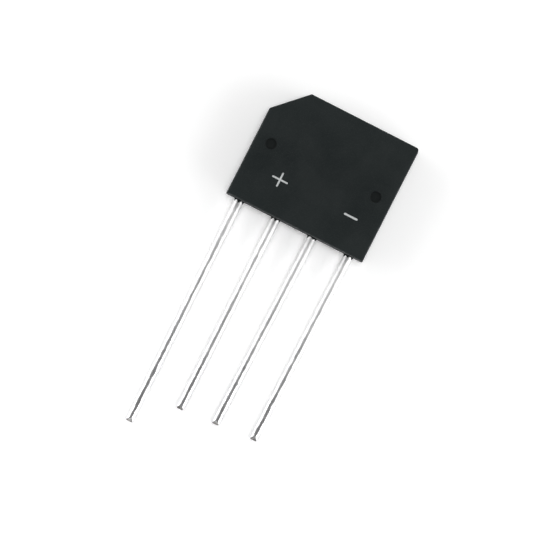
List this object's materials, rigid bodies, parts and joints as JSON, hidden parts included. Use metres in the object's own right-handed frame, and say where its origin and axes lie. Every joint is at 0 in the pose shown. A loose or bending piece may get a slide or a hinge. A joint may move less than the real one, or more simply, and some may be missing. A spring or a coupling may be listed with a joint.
{
  "type": "bridge rectifier",
  "caption": "Single in-line bridge rectifier: a flat black moulded block with one cut corner, polarity marks and a row of long round tinned leads.",
  "frame": {"origin": "middle of the lead row at the seating edge of the body, in the mould's parting plane", "axes": "+X along the lead row from the positive to the negative lead, +Y from the seating edge into the body and away from the leads, +Z out of the marked face"},
  "size_m": [0.019, 0.0466, 0.0062],
  "materials": {
    "epoxy": "matte",
    "tinned_copper": "satin",
    "silicon": "gloss",
    "solder": "satin",
    "ink": "matte"
  },
  "bodies": {
    "root": {"body": "epoxy", "plus_lead": "tinned_copper", "ac_lead_a": "tinned_copper", "ac_lead_b": "tinned_copper", "minus_lead": "tinned_copper", "die_plus_a": "silicon", "die_plus_b": "silicon", "die_minus_a": "silicon", "die_minus_b": "silicon", "solder_plus_a_under": "solder", "solder_plus_a_over": "solder", "solder_plus_b_under": "solder", "solder_plus_b_over": "solder", "solder_minus_a_under": "solder", "solder_minus_a_over": "solder", "solder_minus_b_under": "solder", "solder_minus_b_over": "solder", "plus_mark": "ink", "minus_mark": "ink"}
  },
  "joints": []
}
